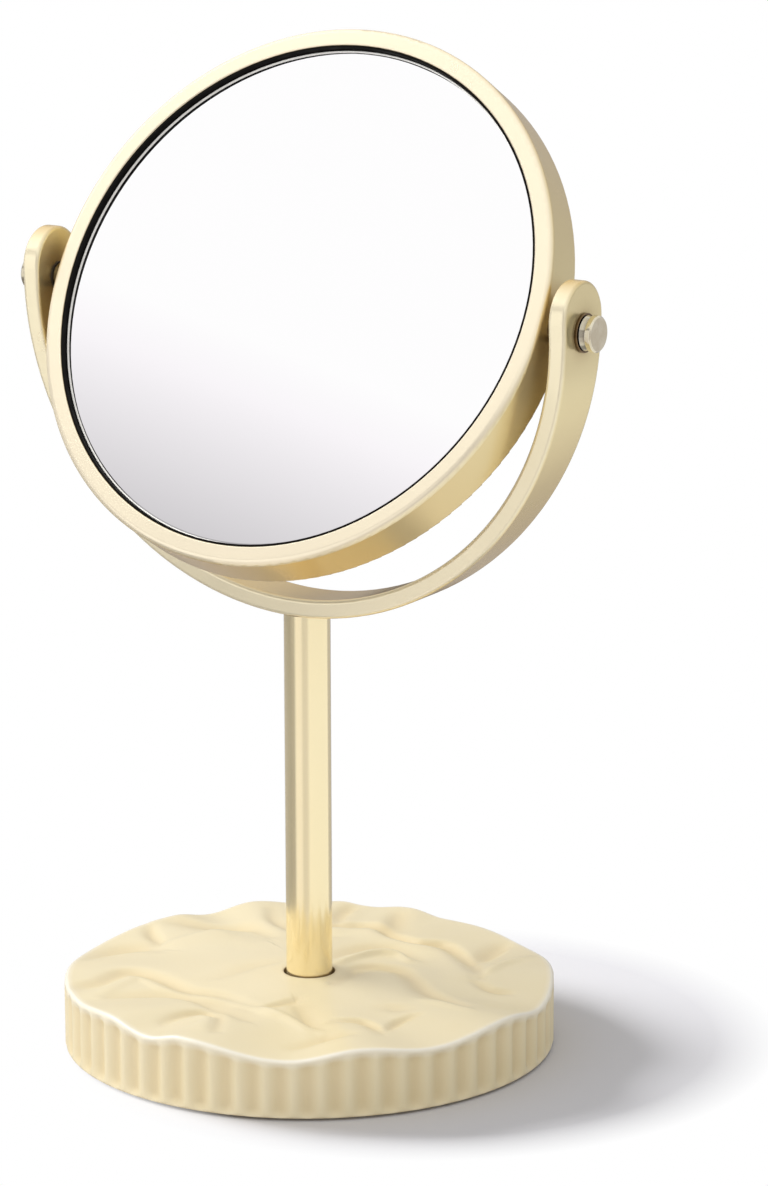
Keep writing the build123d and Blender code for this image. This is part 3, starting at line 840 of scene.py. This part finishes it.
def makeFloor():
    bpy.ops.mesh.primitive_plane_add(size=stage["floorSize"], location=(0, 0, 0))
    floor = bpy.context.object
    floor.name = "floor"
    material = bpy.data.materials.new("floorWhite")
    material.use_nodes = True
    tree = material.node_tree
    tree.nodes.clear()
    place = node(tree, "ShaderNodeTexCoord").outputs["Object"]
    length = node(tree, "ShaderNodeVectorMath", operation="LENGTH")
    tree.links.new(place, length.inputs[0])
    aside = node(tree, "ShaderNodeMapping")
    aside.inputs["Location"].default_value = stage["whiteAround"]
    tree.links.new(place, aside.inputs["Vector"])
    shadowReach = node(tree, "ShaderNodeVectorMath", operation="LENGTH")
    tree.links.new(aside.outputs["Vector"], shadowReach.inputs[0])
    far = remap(tree, shadowReach.outputs["Value"], stage["whiteStarts"], stage["whiteEnds"], 0.0, 1.0)
    path = node(tree, "ShaderNodeLightPath")
    white = mathNode(tree, "MULTIPLY", far, seenDirectly(tree, path))
    matt = node(tree, "ShaderNodeBsdfDiffuse")
    matt.inputs["Color"].default_value = (*stage["floorColour"], 1)
    glow = node(tree, "ShaderNodeEmission")
    shine = node(tree, "ShaderNodeEmission")
    away = remap(tree, length.outputs["Value"], studio["nearEnds"], studio["farStarts"], 0.0, 1.0)
    cards = mixColour(tree, away, cardTone(tree, nearCards, place), cardTone(tree, farCards, place))
    beside = remap(tree, length.outputs["Value"], studio["underEnds"], studio["nearStarts"], 0.0, 1.0)
    tree.links.new(mixColour(tree, beside, [studio["underShadeTone"]] * 3, cards), shine.inputs["Color"])
    seen = node(tree, "ShaderNodeMixShader")
    reflected = node(tree, "ShaderNodeMixShader")
    end = node(tree, "ShaderNodeOutputMaterial")
    tree.links.new(white, seen.inputs[0])
    tree.links.new(matt.outputs[0], seen.inputs[1])
    tree.links.new(glow.outputs[0], seen.inputs[2])
    tree.links.new(path.outputs["Is Glossy Ray"], reflected.inputs[0])
    tree.links.new(seen.outputs[0], reflected.inputs[1])
    tree.links.new(shine.outputs[0], reflected.inputs[2])
    tree.links.new(reflected.outputs[0], end.inputs["Surface"])
    dress(floor, material)


def makeWorld():
    world = bpy.data.worlds.new("studioDome")
    bpy.context.scene.world = world
    world.use_nodes = True
    tree = world.node_tree
    tree.nodes.clear()
    way = node(tree, "ShaderNodeTexCoord").outputs["Generated"]
    lean = node(tree, "ShaderNodeVectorMath", operation="DOT_PRODUCT")
    tree.links.new(way, lean.inputs[0])
    lean.inputs[1].default_value = studio["skyWay"]
    ramp = node(tree, "ShaderNodeValToRGB")
    fillRamp(ramp, studio["sky"], studio["tint"])
    higher = remap(tree, lean.outputs["Value"], studio["skyLow"], studio["skyHigh"], 0.0, 1.0)
    tree.links.new(higher, ramp.inputs[0])
    parts = node(tree, "ShaderNodeSeparateXYZ")
    tree.links.new(way, parts.inputs[0])
    up = remap(tree, parts.outputs["Z"], studio["cardsEnd"], studio["skyStarts"], 0.0, 1.0)
    path = node(tree, "ShaderNodeLightPath")
    shiny = node(tree, "ShaderNodeBackground")
    tree.links.new(mixColour(tree, up, cardTone(tree, wallCards, way), ramp.outputs[0]), shiny.inputs[0])
    matt = node(tree, "ShaderNodeBackground")
    matt.inputs[0].default_value = (1, 1, 1, 1)
    front = node(tree, "ShaderNodeVectorMath", operation="DOT_PRODUCT")
    tree.links.new(way, front.inputs[0])
    front.inputs[1].default_value = studio["domeWay"]
    dome = remap(tree, front.outputs["Value"], -1.0, 1.0, studio["domeBack"], studio["domeFront"])
    tree.links.new(dome, matt.inputs[1])
    white = node(tree, "ShaderNodeBackground")
    white.inputs[0].default_value = (1, 1, 1, 1)
    first = node(tree, "ShaderNodeMixShader")
    second = node(tree, "ShaderNodeMixShader")
    end = node(tree, "ShaderNodeOutputWorld")
    tree.links.new(path.outputs["Is Glossy Ray"], first.inputs[0])
    tree.links.new(matt.outputs[0], first.inputs[1])
    tree.links.new(shiny.outputs[0], first.inputs[2])
    tree.links.new(seenDirectly(tree, path), second.inputs[0])
    tree.links.new(first.outputs[0], second.inputs[1])
    tree.links.new(white.outputs[0], second.inputs[2])
    tree.links.new(second.outputs[0], end.inputs["Surface"])


# each lamp lights one group of pieces; azimuths are degrees from the front towards the right
lamps = {
    "keyLamp": {"azimuth": -74, "elevation": 47, "distance": 1.3, "size": 0.9, "power": 10.5,
                "lights": "base", "inReflections": True},
    "softLamp": {"azimuth": -74, "elevation": 47, "distance": 1.3, "size": 0.9, "power": 19.0,
                 "lights": "metal", "inReflections": False},
    "floorLamp": {"azimuth": -87.5, "elevation": 17.6, "distance": 1.6, "size": 0.94, "power": 54.0,
                  "lights": "floor", "inReflections": False},
}


def standAt(settings, aim):
    # place of a lamp or camera, and the direction from its aim to it
    a, e = math.radians(settings["azimuth"]), math.radians(settings["elevation"])
    back = Vector((math.sin(a) * math.cos(e), -math.cos(a) * math.cos(e), math.sin(e)))
    return Vector(aim) + back * settings["distance"], back


def lightGroup(name, pieces):
    group = bpy.data.collections.new(name)
    for piece in pieces:
        group.objects.link(piece)
    return group


def makeLamps():
    floor = bpy.data.objects["floor"]
    metal = [part for name, part in frame["nodes"].items() if name != "base_shell"]
    lit = {
        "floor": lightGroup("litFloor", [floor]),
        "base": lightGroup("litBase", [foldedBase]),
        "metal": lightGroup("litMetal", metal + [glassLipBead, rearGlass]),
    }
    for name, settings in lamps.items():
        data = bpy.data.lights.new(name, "AREA")
        data.shape = "DISK"
        data.size = settings["size"]
        data.energy = settings["power"]
        lamp = bpy.data.objects.new(name, data)
        bpy.context.scene.collection.objects.link(lamp)
        lamp.location, back = standAt(settings, studio["lampAim"])
        lamp.rotation_euler = back.to_track_quat("Z", "Y").to_euler()
        lamp.visible_glossy = settings["inReflections"]
        lamp.light_linking.receiver_collection = lit[settings["lights"]]
        if settings["lights"] == "floor":
            lamp.light_linking.blocker_collection = lit["base"]    # the high parts cast no hard streak


cameraView = {
    "azimuth": 31.4, "elevation": 13.885, "distance": 1.588,
    "aim": (0.0252, 0.006, 0.1518),
    "lens": 151.6, "sensor": 36,
    "roll": -0.16,                  # degrees
}


def makeCamera():
    data = bpy.data.cameras.new("camera")
    data.lens = cameraView["lens"]
    data.sensor_width = cameraView["sensor"]
    camera = bpy.data.objects.new("camera", data)
    bpy.context.scene.collection.objects.link(camera)
    camera.location, back = standAt(cameraView, cameraView["aim"])
    roll = Matrix.Rotation(math.radians(cameraView["roll"]), 3, "Z")
    turn = back.to_track_quat("Z", "Y").to_matrix() @ roll
    camera.rotation_euler = turn.to_euler()
    bpy.context.scene.camera = camera


makeFloor()
makeWorld()
makeLamps()
makeCamera()
bpy.context.scene.view_settings.view_transform = "Standard"
print("stage ready")
